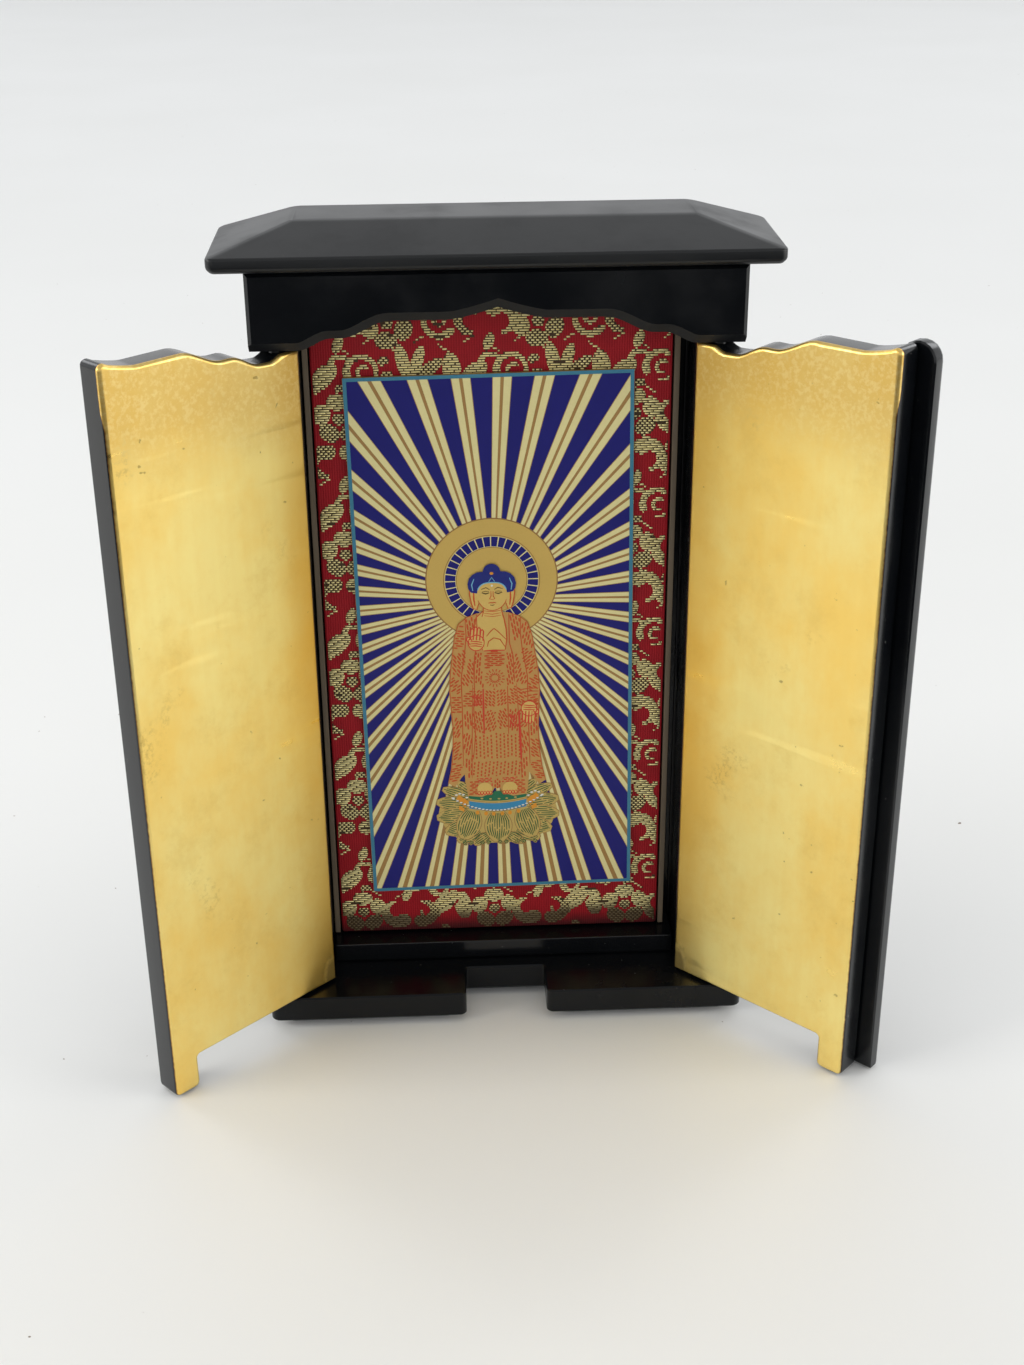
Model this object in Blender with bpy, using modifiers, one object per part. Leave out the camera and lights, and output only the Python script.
"""Miniature household altar cabinet of black lacquered wood, standing with both doors open.

Metres, +Z up. The origin is on the underside, in the middle of the body. The front faces -Y.
Every board is drawn as an outline and given its thickness, so the sizes below are board sizes.
"""
import math

import bmesh
import bpy
from mathutils import Matrix, Vector

# Clearances between neighbouring pieces
GLUE_GAP = 0.0003
SWING_GAP = 0.0003
PIVOT_GAP = 0.0003
LEG_FLOOR_GAP = 0.0004
DOOR_BASE_GAP = 0.0004
DOOR_NOTCH_GAP = 0.0004
DOOR_HEADER_GAP = 0.0009
STILE_HEADER_GAP = 0.0003
BROCADE_TOP_GAP = 0.0010

# Body: the box between base and roof
BODY_DEPTH = 0.0240
BODY_HEIGHT = 0.1564
NICHE_WIDTH = 0.0754
SIDE_THICKNESS = 0.0060
BACK_THICKNESS = 0.0041
BOARD_ARRIS = 0.0003

# Base board, its set-back foot and the notch for the door legs
BASE_WIDTH = 0.1020
BASE_THICKNESS = 0.0057
BASE_FRONT_LEDGE = 0.0030
BASE_REAR_LEDGE = 0.0015
BASE_CORNER_RADIUS = 0.0020
FOOT_HEIGHT = 0.0019
FOOT_INSET = 0.0028
NOTCH_WIDTH = 0.0174
NOTCH_MOUTH_RADIUS = 0.0015
NOTCH_ROOT_RADIUS = 0.0008
BASE_ARRIS = 0.0003

# Sill, the floor board of the niche
SILL_THICKNESS = 0.0042
SILL_SETBACK = 0.0105

# Header board and its wavy lower edge
HEADER_WIDTH = 0.0920
HEADER_DROP = 0.0152
HEADER_CHAMFER = 0.0020
HEADER_SIDE_CHAMFER = 0.0007
PLATEAU_RISE = 0.0031
PLATEAU_HALF = 0.0200
PLATEAU_SLOPE = 0.0090
SHOULDER_RISE = 0.0022
SHOULDER_HALF = 0.0310
SHOULDER_SLOPE = 0.0060
CUSP_RISE = 0.0022
CUSP_HALF = 0.0090
CUSP_POWER = 1.3
WAVE_STEP = 0.0011

# Roof slab
ROOF_WIDTH = 0.1050
ROOF_FRONT_EAVE = 0.0023
ROOF_REAR_EAVE = 0.0015
ROOF_FASCIA = 0.0029
ROOF_RISE = 0.0037
ROOF_SLOPE_RUN = 0.0148
ROOF_CORNER_RADIUS = 0.0016
ROOF_CHAMFER = 0.0009
ROOF_SOFTENING = 0.0004
ROOF_CREASE_RADIUS = 0.0120
ROOF_HIP_RADIUS = 0.0080

# Doors
DOOR_THICKNESS = 0.0060
DOOR_SETBACK = 0.0005
DOOR_END_INSET = 0.0012
DOOR_MEETING_GAP = 0.0024
DOOR_OUTER_ROUND = 0.0007
DOOR_INNER_ROUND = 0.0007
DOOR_CORNER_RADIUS = 0.0012
STILE_WIDTH = 0.0041
STILE_SLOPE = 0.0022
WAVE_NARROWING = 0.0015
DIP_DEPTH = 0.0004
DIP_WIDTH = 0.0070
LEG_WIDTH = 0.0061
LEG_ROOT_RADIUS = 0.0008
PIVOT_INSET = 0.0034
PIVOT_RADIUS = 0.0012
PIVOT_LENGTH = 0.0030
LEFT_DOOR_OPEN = math.radians(137)
RIGHT_DOOR_OPEN = math.radians(136)

# Meeting batten on the right door
BATTEN_WIDTH = 0.0072
BATTEN_THICKNESS = 0.0034
BATTEN_LAP = 0.0032
BATTEN_ROUND = 0.0012
BATTEN_BACK_ARRIS = 0.0003
BOSS_HEIGHT = 0.0095
BOSS_WIDTH = 0.0050
BOSS_PROUD = 0.0009
BOSS_CENTRE_HEIGHT = 0.0825

# Brocade board with its edge strips, and the picture plate on it
BROCADE_SLACK = 0.0020
BROCADE_THICKNESS = 0.0046
BROCADE_ROUND = 0.0006
STRIP_WIDTH = 0.0011
PLATE_WIDTH = 0.0566
PLATE_HEIGHT = 0.1164
PLATE_THICKNESS = 0.0006
PLATE_RAISE = 0.0114
PLATE_TILT = math.radians(0.7)
PLATE_CORNER_RADIUS = 0.0004

ARC_STEPS = 5
ROUND_STEPS = 4
MERGE = 0.000001

# Places that follow from the sizes
BODY_FRONT = -BODY_DEPTH / 2
BODY_BACK = BODY_DEPTH / 2
BASE_TOP = FOOT_HEIGHT + BASE_THICKNESS
ROOF_UNDERSIDE = BASE_TOP + BODY_HEIGHT
HEADER_END_HEIGHT = ROOF_UNDERSIDE - HEADER_DROP
DOOR_OUTER_FACE = BODY_FRONT + DOOR_SETBACK
DOOR_INNER_FACE = DOOR_OUTER_FACE + DOOR_THICKNESS
DOOR_HINGE_EDGE = HEADER_WIDTH / 2 - DOOR_END_INSET
DOOR_FREE_EDGE = DOOR_MEETING_GAP / 2
DOOR_BOTTOM = BASE_TOP + DOOR_BASE_GAP
PIVOT_X = DOOR_HINGE_EDGE - PIVOT_INSET
PIVOT_Y = DOOR_OUTER_FACE + DOOR_THICKNESS / 2
SWEEP_RADIUS = math.hypot(PIVOT_INSET, DOOR_THICKNESS / 2)
PANEL_FRONT = PIVOT_Y + SWEEP_RADIUS + SWING_GAP
NICHE_HALF = NICHE_WIDTH / 2
PANEL_BOTTOM = BASE_TOP + GLUE_GAP
PANEL_TOP = ROOF_UNDERSIDE - GLUE_GAP
BACK_FRONT = BODY_BACK - BACK_THICKNESS
SILL_TOP = PANEL_BOTTOM + SILL_THICKNESS
BROCADE_BACK = BACK_FRONT - GLUE_GAP
BROCADE_FRONT = BROCADE_BACK - BROCADE_THICKNESS
BROCADE_BOTTOM = SILL_TOP + GLUE_GAP
BROCADE_LEFT = -NICHE_HALF + GLUE_GAP + STRIP_WIDTH + GLUE_GAP
BROCADE_WIDTH = NICHE_WIDTH - 2 * STRIP_WIDTH - 3 * GLUE_GAP - BROCADE_SLACK
BROCADE_CENTRE = BROCADE_LEFT + BROCADE_WIDTH / 2


def clear_scene():
    """Remove every object and collection that the file opened with."""
    for old_object in list(bpy.data.objects):
        bpy.data.objects.remove(old_object, do_unlink=True)
    for old_collection in list(bpy.data.collections):
        bpy.data.collections.remove(old_collection)


def new_collection(name):
    """Make a collection under the scene and return it."""
    collection = bpy.data.collections.new(name)
    bpy.context.scene.collection.children.link(collection)
    return collection


def new_material(name, colour, roughness, metallic=0.0):
    """Principled material with one colour."""
    material = bpy.data.materials.new(name)
    material.use_nodes = True
    shader = material.node_tree.nodes["Principled BSDF"]
    shader.inputs["Base Color"].default_value = (*colour, 1.0)
    shader.inputs["Roughness"].default_value = roughness
    shader.inputs["Metallic"].default_value = metallic
    return material


def smooth_step(value):
    """Ease from 0 to 1 as the value goes from 0 to 1."""
    value = min(max(value, 0.0), 1.0)
    return value * value * (3.0 - 2.0 * value)


def wave(x, narrowing):
    """Rise of the wavy line at x. Narrowing draws its plateau and its shoulders to the middle."""
    x = abs(x)
    plateau_end = PLATEAU_HALF - narrowing
    shoulder_end = SHOULDER_HALF - narrowing
    plateau = PLATEAU_RISE * (1.0 - smooth_step((x - plateau_end) / PLATEAU_SLOPE))
    shoulder = SHOULDER_RISE * (1.0 - smooth_step((x - shoulder_end) / SHOULDER_SLOPE))
    cusp = CUSP_RISE * max(0.0, 1.0 - x / CUSP_HALF) ** CUSP_POWER
    return plateau + shoulder + cusp


def header_edge(x):
    """Height of the header's lower edge at x."""
    return HEADER_END_HEIGHT + wave(x, 0.0)


def door_edge(x):
    """Height of a closed door's top edge at x: under the header's wave, dipping beside the stile."""
    stile_start = DOOR_HINGE_EDGE - STILE_WIDTH - STILE_SLOPE
    dip = DIP_DEPTH * smooth_step((x - stile_start + DIP_WIDTH) / DIP_WIDTH)
    free_part = HEADER_END_HEIGHT + wave(x, WAVE_NARROWING) - DOOR_HEADER_GAP - dip
    stile = HEADER_END_HEIGHT - STILE_HEADER_GAP
    share = smooth_step((x - stile_start) / STILE_SLOPE)
    return free_part * (1.0 - share) + stile * share


def stations(start, end, step):
    """Evenly spaced values from start to end, both included, about one step apart."""
    count = max(2, math.ceil(abs(end - start) / step))
    return [start + (end - start) * index / count for index in range(count + 1)]


def rounded_outline(corners):
    """Outline through corners given as (a, b, radius), each corner turned into an arc."""
    outline = []
    for index, (a, b, radius) in enumerate(corners):
        here = Vector((a, b))
        before = (Vector(corners[index - 1][:2]) - here).normalized()
        after = (Vector(corners[(index + 1) % len(corners)][:2]) - here).normalized()
        half_angle = before.angle(after) / 2
        if radius <= 0.0 or math.pi / 2 - half_angle < 0.01:
            outline.append((a, b))
            continue
        centre = here + (before + after).normalized() * radius / math.sin(half_angle)
        start = here + before * radius / math.tan(half_angle) - centre
        end = here + after * radius / math.tan(half_angle) - centre
        turn = start.angle_signed(end)
        for step in range(ARC_STEPS + 1):
            arm = start.copy()
            arm.rotate(Matrix.Rotation(-turn * step / ARC_STEPS, 2))
            outline.append(tuple(centre + arm))
    return outline


def extruded(name, outline, thickness, upright, collection):
    """Board of an outline. An upright one lies in X and Z, any other in X and Y. Its middle is at 0."""
    curve = bpy.data.curves.new(name, "CURVE")
    curve.dimensions = "2D"
    curve.fill_mode = "BOTH"
    curve.extrude = thickness / 2
    spline = curve.splines.new("POLY")
    spline.points.add(len(outline) - 1)
    for point, (a, b) in zip(spline.points, outline):
        point.co = (a, b, 0.0, 1.0)
    spline.use_cyclic_u = True
    drawing = bpy.data.objects.new(name + "_outline", curve)
    if upright:
        drawing.rotation_euler.x = math.pi / 2
    collection.objects.link(drawing)
    bpy.context.view_layer.update()
    evaluated = drawing.evaluated_get(bpy.context.evaluated_depsgraph_get())
    mesh = bpy.data.meshes.new_from_object(evaluated)
    mesh.transform(drawing.matrix_world)
    bpy.data.objects.remove(drawing, do_unlink=True)
    tidy = bmesh.new()
    tidy.from_mesh(mesh)
    bmesh.ops.remove_doubles(tidy, verts=tidy.verts, dist=MERGE)
    bmesh.ops.dissolve_limit(tidy, angle_limit=0.001, verts=tidy.verts, edges=tidy.edges)
    bmesh.ops.recalc_face_normals(tidy, faces=tidy.faces)
    tidy.to_mesh(mesh)
    tidy.free()
    board = bpy.data.objects.new(name, mesh)
    collection.objects.link(board)
    return board


def bevel_edges(board, chosen, width, segments=1):
    """Bevel the edges of a board for which chosen(start, end) is true."""
    work = bmesh.new()
    work.from_mesh(board.data)
    edges = [edge for edge in work.edges if chosen(edge.verts[0].co, edge.verts[1].co)]
    bmesh.ops.bevel(work, geom=edges, offset=width, offset_type="OFFSET", segments=segments,
                    profile=0.5, affect="EDGES", clamp_overlap=True)
    bmesh.ops.remove_doubles(work, verts=work.verts, dist=MERGE)
    work.to_mesh(board.data)
    work.free()


def at_level(axis, level):
    """Test that picks the edges that lie at one level along an axis."""
    def chosen(start, end):
        return abs(start[axis] - level) < MERGE * 5 and abs(end[axis] - level) < MERGE * 5
    return chosen


def box(name, low, high, arris, collection):
    """Board between two corners, with its edges taken off."""
    size = [high[axis] - low[axis] for axis in range(3)]
    middle = [(high[axis] + low[axis]) / 2 for axis in range(3)]
    bpy.ops.mesh.primitive_cube_add(size=1.0, location=middle)
    board = bpy.context.active_object
    board.name = name
    board.data.transform(Matrix.Diagonal((*size, 1.0)))
    bevel = board.modifiers.new("Arris", "BEVEL")
    bevel.width = arris
    bevel.segments = 2
    bevel.limit_method = "ANGLE"
    for owner in list(board.users_collection):
        owner.objects.unlink(board)
    collection.objects.link(board)
    return board


def upright_cylinder(name, radius, bottom, top, x, y, collection):
    """Round pin or hole along Z."""
    mesh = bpy.data.meshes.new(name)
    work = bmesh.new()
    bmesh.ops.create_cone(work, cap_ends=True, segments=20, radius1=radius, radius2=radius,
                          depth=top - bottom)
    work.to_mesh(mesh)
    work.free()
    pin = bpy.data.objects.new(name, mesh)
    pin.location = (x, y, (bottom + top) / 2)
    collection.objects.link(pin)
    return pin


def hide_tool(tool):
    """Keep a cutter or a joined blank out of the finished object."""
    tool.hide_render = True
    tool.display_type = "WIRE"


def combine(board, tool, operation):
    """Cut a tool from a board, or join it to the board."""
    hide_tool(tool)
    change = board.modifiers.new(tool.name, "BOOLEAN")
    change.operation = operation
    change.solver = "EXACT"
    change.object = tool


def finish(board, material):
    """Give a piece its material and shade its round stretches smooth."""
    board.data.materials.clear()
    board.data.materials.append(material)
    board.data.shade_smooth()
    board.data.set_sharp_from_angle(angle=math.radians(30))
    return board


def notched_outline(width, front, back, notch_half, notch_back, corner, mouth, root):
    """Plan of the base: a rounded rectangle with a notch in the middle of its front."""
    half = width / 2
    return rounded_outline([
        (-half, front, corner),
        (-notch_half, front, mouth),
        (-notch_half, notch_back, root),
        (notch_half, notch_back, root),
        (notch_half, front, mouth),
        (half, front, corner),
        (half, back, corner),
        (-half, back, corner),
    ])


def make_base(parts, tools, material):
    """Base board with the notch for the door legs, joined to its set-back foot."""
    front = BODY_FRONT - BASE_FRONT_LEDGE
    back = BODY_BACK + BASE_REAR_LEDGE
    notch_back = DOOR_INNER_FACE + DOOR_NOTCH_GAP
    plan = notched_outline(BASE_WIDTH, front, back, NOTCH_WIDTH / 2, notch_back,
                           BASE_CORNER_RADIUS, NOTCH_MOUTH_RADIUS, NOTCH_ROOT_RADIUS)
    base = extruded("base", plan, BASE_THICKNESS, False, parts)
    for level in (-BASE_THICKNESS / 2, BASE_THICKNESS / 2):
        bevel_edges(base, at_level(2, level), BASE_ARRIS)
    base.data.transform(Matrix.Translation((0.0, 0.0, BASE_TOP - BASE_THICKNESS / 2)))

    foot_plan = notched_outline(BASE_WIDTH - 2 * FOOT_INSET, front + FOOT_INSET, back - FOOT_INSET,
                                NOTCH_WIDTH / 2 + FOOT_INSET, notch_back + FOOT_INSET,
                                BASE_CORNER_RADIUS, NOTCH_MOUTH_RADIUS, NOTCH_ROOT_RADIUS)
    foot_thickness = FOOT_HEIGHT + BASE_THICKNESS / 2
    foot = extruded("base_foot", foot_plan, foot_thickness, False, tools)
    foot.location.z = foot_thickness / 2
    combine(base, foot, "UNION")

    hole_bottom = BASE_TOP - PIVOT_LENGTH + DOOR_BASE_GAP - PIVOT_GAP
    for side, label in ((-1, "left"), (1, "right")):
        hole = upright_cylinder("base_pivot_hole_" + label, PIVOT_RADIUS + PIVOT_GAP, hole_bottom,
                                BASE_TOP + PIVOT_GAP, side * PIVOT_X, PIVOT_Y, tools)
        combine(base, hole, "DIFFERENCE")
    return finish(base, material)


def make_box_panels(parts, material):
    """Side panels, back panel and sill, the plain boards of the niche."""
    for side, label in ((-1, "left"), (1, "right")):
        inner = side * NICHE_HALF
        outer = side * (NICHE_HALF + SIDE_THICKNESS)
        panel = box("side_panel_" + label,
                    (min(inner, outer), PANEL_FRONT, PANEL_BOTTOM),
                    (max(inner, outer), BODY_BACK, PANEL_TOP), BOARD_ARRIS, parts)
        finish(panel, material)
    reach = NICHE_HALF - GLUE_GAP
    back = box("back_panel", (-reach, BACK_FRONT, PANEL_BOTTOM), (reach, BODY_BACK, PANEL_TOP),
               BOARD_ARRIS, parts)
    finish(back, material)
    sill = box("sill", (-reach, BODY_FRONT + SILL_SETBACK, PANEL_BOTTOM),
               (reach, BACK_FRONT - GLUE_GAP, SILL_TOP), BOARD_ARRIS, parts)
    finish(sill, material)


def make_header(parts, tools, material):
    """Lintel board with its wavy, cusped lower edge, chamfered along the front."""
    half = HEADER_WIDTH / 2
    depth = PANEL_FRONT - GLUE_GAP - BODY_FRONT
    left_run = stations(-half, 0.0, WAVE_STEP)
    right_run = stations(0.0, half, WAVE_STEP)[1:]
    outline = [(x, header_edge(x)) for x in left_run + right_run]
    outline += [(half, PANEL_TOP), (-half, PANEL_TOP)]
    header = extruded("header", outline, depth, True, parts)

    def lower_front(start, end):
        on_face = at_level(1, -depth / 2)(start, end)
        return on_face and max(start.z, end.z) < PANEL_TOP - MERGE and abs(start.x - end.x) > MERGE

    def upright_front(start, end):
        on_face = at_level(1, -depth / 2)(start, end)
        return on_face and min(abs(start.x), abs(end.x)) > half - MERGE * 5

    bevel_edges(header, lower_front, HEADER_CHAMFER)
    bevel_edges(header, upright_front, HEADER_SIDE_CHAMFER)
    header.data.transform(Matrix.Translation((0.0, BODY_FRONT + depth / 2, 0.0)))
    hole_top = HEADER_END_HEIGHT - STILE_HEADER_GAP + PIVOT_LENGTH + PIVOT_GAP
    for side, label in ((-1, "left"), (1, "right")):
        hole = upright_cylinder("header_pivot_hole_" + label, PIVOT_RADIUS + PIVOT_GAP,
                                HEADER_END_HEIGHT - PIVOT_LENGTH, hole_top,
                                side * PIVOT_X, PIVOT_Y, tools)
        combine(header, hole, "DIFFERENCE")
    return finish(header, material)


def rounding_planes(edge_point, first, last, radius):
    """Planes, each a point and a normal, that round the edge between the planes of two normals."""
    middle = (first + last).normalized()
    axis = edge_point - middle * radius / math.cos(first.angle(last) / 2)
    normals = [first.slerp(last, step / ROUND_STEPS) for step in range(1, ROUND_STEPS)]
    return [(axis + normal * radius, normal) for normal in normals]


def roof_planes(half, front, rim):
    """Planes of the roof's three slopes, its rounded creases and its two rounded hips."""
    top = Vector((0.0, 0.0, 1.0))
    front_slope = Vector((0.0, -ROOF_RISE, ROOF_SLOPE_RUN)).normalized()
    front_crease = Vector((0.0, front + ROOF_SLOPE_RUN, rim + ROOF_RISE))
    planes = [(Vector((0.0, front, rim)), front_slope)]
    planes += rounding_planes(front_crease, front_slope, top, ROOF_CREASE_RADIUS)
    for side in (-1, 1):
        side_slope = Vector((side * ROOF_RISE, 0.0, ROOF_SLOPE_RUN)).normalized()
        side_crease = Vector((side * (half - ROOF_SLOPE_RUN), 0.0, rim + ROOF_RISE))
        corner = Vector((side * half, front, rim))
        planes.append((corner, side_slope))
        planes += rounding_planes(side_crease, side_slope, top, ROOF_CREASE_RADIUS)
        planes += rounding_planes(corner, front_slope, side_slope, ROOF_HIP_RADIUS)
    return planes


def make_roof(parts, material):
    """Roof slab: upright fascia, slopes at the front and both ends, flat top, upright back."""
    half = ROOF_WIDTH / 2
    front = BODY_FRONT - ROOF_FRONT_EAVE
    back = BODY_BACK + ROOF_REAR_EAVE
    plan = rounded_outline([
        (-half, front, ROOF_CORNER_RADIUS),
        (half, front, ROOF_CORNER_RADIUS),
        (half, back, ROOF_CORNER_RADIUS),
        (-half, back, ROOF_CORNER_RADIUS),
    ])
    height = ROOF_FASCIA + ROOF_RISE
    roof = extruded("roof", plan, height, False, parts)
    bevel_edges(roof, at_level(2, -height / 2), ROOF_CHAMFER)
    rim = ROOF_FASCIA - height / 2
    work = bmesh.new()
    work.from_mesh(roof.data)
    for point, normal in roof_planes(half, front, rim):
        geometry = work.verts[:] + work.edges[:] + work.faces[:]
        cut = bmesh.ops.bisect_plane(work, geom=geometry, dist=MERGE, plane_co=point,
                                     plane_no=normal, clear_outer=True)
        rim_edges = [item for item in cut["geom_cut"] if isinstance(item, bmesh.types.BMEdge)]
        bmesh.ops.contextual_create(work, geom=rim_edges)
    bmesh.ops.recalc_face_normals(work, faces=work.faces)
    work.to_mesh(roof.data)
    work.free()
    roof.location.z = ROOF_UNDERSIDE + height / 2
    soften = roof.modifiers.new("Softening", "BEVEL")
    soften.width = ROOF_SOFTENING
    soften.segments = 3
    soften.limit_method = "ANGLE"
    soften.angle_limit = math.radians(30)
    soften.use_clamp_overlap = False
    return finish(roof, material)


def door_outline():
    """Outline of the closed right door, from its free edge to its hinge edge."""
    free = DOOR_FREE_EDGE
    hinge = DOOR_HINGE_EDGE
    leg = free + LEG_WIDTH
    lower = rounded_outline([
        (hinge, DOOR_BOTTOM, 0.0),
        (hinge, door_edge(hinge), 0.0),
        (free, door_edge(free), DOOR_CORNER_RADIUS),
        (free, LEG_FLOOR_GAP, DOOR_CORNER_RADIUS),
        (leg, LEG_FLOOR_GAP, DOOR_CORNER_RADIUS),
        (leg, DOOR_BOTTOM, LEG_ROOT_RADIUS),
    ])
    top_start = next(index for index, point in enumerate(lower) if point == (hinge, door_edge(hinge)))
    wave_start = free + 2 * DOOR_CORNER_RADIUS
    top = [(x, door_edge(x)) for x in stations(hinge, wave_start, WAVE_STEP)]
    return lower[:top_start] + top + lower[top_start + 1:]


def make_door(side, name, open_angle, parts, tools, material):
    """One door on its pivot axis. Side is -1 for the left and 1 for the right."""
    outline = [(side * (x - PIVOT_X), z) for x, z in door_outline()]
    door = extruded(name, outline, DOOR_THICKNESS, True, parts)
    bevel_edges(door, at_level(1, -DOOR_THICKNESS / 2), DOOR_OUTER_ROUND, 2)
    bevel_edges(door, at_level(1, DOOR_THICKNESS / 2), DOOR_INNER_ROUND, 3)
    door.location = (side * PIVOT_X, PIVOT_Y, 0.0)
    door.rotation_euler.z = side * open_angle
    stile_top = HEADER_END_HEIGHT - STILE_HEADER_GAP
    ends = (("top", stile_top - PIVOT_LENGTH, stile_top + PIVOT_LENGTH),
            ("bottom", DOOR_BOTTOM - PIVOT_LENGTH, DOOR_BOTTOM + PIVOT_LENGTH))
    for label, bottom, top in ends:
        pin = upright_cylinder(name + "_pivot_" + label, PIVOT_RADIUS, bottom, top,
                               side * PIVOT_X, PIVOT_Y, tools)
        combine(door, pin, "UNION")
    return finish(door, material)


def make_batten(door, parts, tools, material):
    """Rounded strip on the outside of the right door, with a low oval boss on it."""
    left = DOOR_FREE_EDGE - BATTEN_LAP
    right = left + BATTEN_WIDTH
    top = door_edge(DOOR_FREE_EDGE)
    dome = BATTEN_WIDTH / 2
    outline = [(left, LEG_FLOOR_GAP), (right, LEG_FLOOR_GAP)]
    for step in range(2 * ARC_STEPS + 1):
        turn = math.pi * step / (2 * ARC_STEPS)
        outline.append((left + dome + dome * math.cos(turn), top - dome + dome * math.sin(turn)))
    outline = [(x - PIVOT_X, z) for x, z in outline]
    batten = extruded("meeting_batten", outline, BATTEN_THICKNESS, True, parts)
    bevel_edges(batten, at_level(1, -BATTEN_THICKNESS / 2), BATTEN_ROUND, 3)
    bevel_edges(batten, at_level(1, BATTEN_THICKNESS / 2), BATTEN_BACK_ARRIS)
    middle = -DOOR_THICKNESS / 2 - GLUE_GAP - BATTEN_THICKNESS / 2
    batten.data.transform(Matrix.Translation((0.0, middle, 0.0)))
    batten.location = door.location
    batten.rotation_euler = door.rotation_euler

    mesh = bpy.data.meshes.new("boss")
    work = bmesh.new()
    bmesh.ops.create_uvsphere(work, u_segments=20, v_segments=12, radius=1.0)
    half_sizes = (BOSS_WIDTH / 2, BATTEN_THICKNESS / 2, BOSS_HEIGHT / 2)
    bmesh.ops.scale(work, vec=half_sizes, verts=work.verts)
    centre = (left + dome - PIVOT_X, middle - BOSS_PROUD, BOSS_CENTRE_HEIGHT)
    bmesh.ops.translate(work, vec=centre, verts=work.verts)
    work.to_mesh(mesh)
    work.free()
    boss = bpy.data.objects.new("meeting_batten_boss", mesh)
    boss.location = door.location
    boss.rotation_euler = door.rotation_euler
    tools.objects.link(boss)
    combine(batten, boss, "UNION")
    return finish(batten, material)


def make_lining(parts, brocade, bare_wood, gilt):
    """Brocade board with its edge strips and the picture plate, pushed against the left side."""
    top = ROOF_UNDERSIDE - BROCADE_TOP_GAP
    low = (BROCADE_LEFT, BROCADE_FRONT, BROCADE_BOTTOM)
    high = (BROCADE_LEFT + BROCADE_WIDTH, BROCADE_BACK, top)
    finish(box("brocade_board", low, high, BROCADE_ROUND, parts), brocade)
    lefts = (("left", BROCADE_LEFT - GLUE_GAP - STRIP_WIDTH), ("right", high[0] + GLUE_GAP))
    for label, left in lefts:
        strip = box("edge_strip_" + label, (left, BROCADE_FRONT, BROCADE_BOTTOM),
                    (left + STRIP_WIDTH, BROCADE_BACK, top), BOARD_ARRIS / 2, parts)
        finish(strip, bare_wood)
    across = PLATE_WIDTH / 2
    up = PLATE_HEIGHT / 2
    plate_outline = rounded_outline([
        (-across, -up, PLATE_CORNER_RADIUS),
        (across, -up, PLATE_CORNER_RADIUS),
        (across, up, PLATE_CORNER_RADIUS),
        (-across, up, PLATE_CORNER_RADIUS),
    ])
    plate = extruded("picture_plate", plate_outline, PLATE_THICKNESS, True, parts)
    plate.location = (BROCADE_CENTRE, BROCADE_FRONT - GLUE_GAP - PLATE_THICKNESS / 2,
                      BROCADE_BOTTOM + PLATE_RAISE + up)
    plate.rotation_euler.y = -PLATE_TILT
    finish(plate, gilt)


def build():
    """Model the whole cabinet."""
    clear_scene()
    parts = new_collection("altar_cabinet")
    tools = new_collection("cutters")
    lacquer = new_material("black_lacquer", (0.012, 0.014, 0.017), 0.18)
    brocade = new_material("brocade", (0.26, 0.012, 0.022), 0.75)
    bare_wood = new_material("bare_wood", (0.13, 0.10, 0.07), 0.70)
    gilt = new_material("gilt_plate", (0.62, 0.46, 0.18), 0.35, 1.0)
    make_base(parts, tools, lacquer)
    make_box_panels(parts, lacquer)
    make_header(parts, tools, lacquer)
    make_roof(parts, lacquer)
    make_door(-1, "door_left", LEFT_DOOR_OPEN, parts, tools, lacquer)
    right_door = make_door(1, "door_right", RIGHT_DOOR_OPEN, parts, tools, lacquer)
    make_batten(right_door, parts, tools, lacquer)
    make_lining(parts, brocade, bare_wood, gilt)


build()
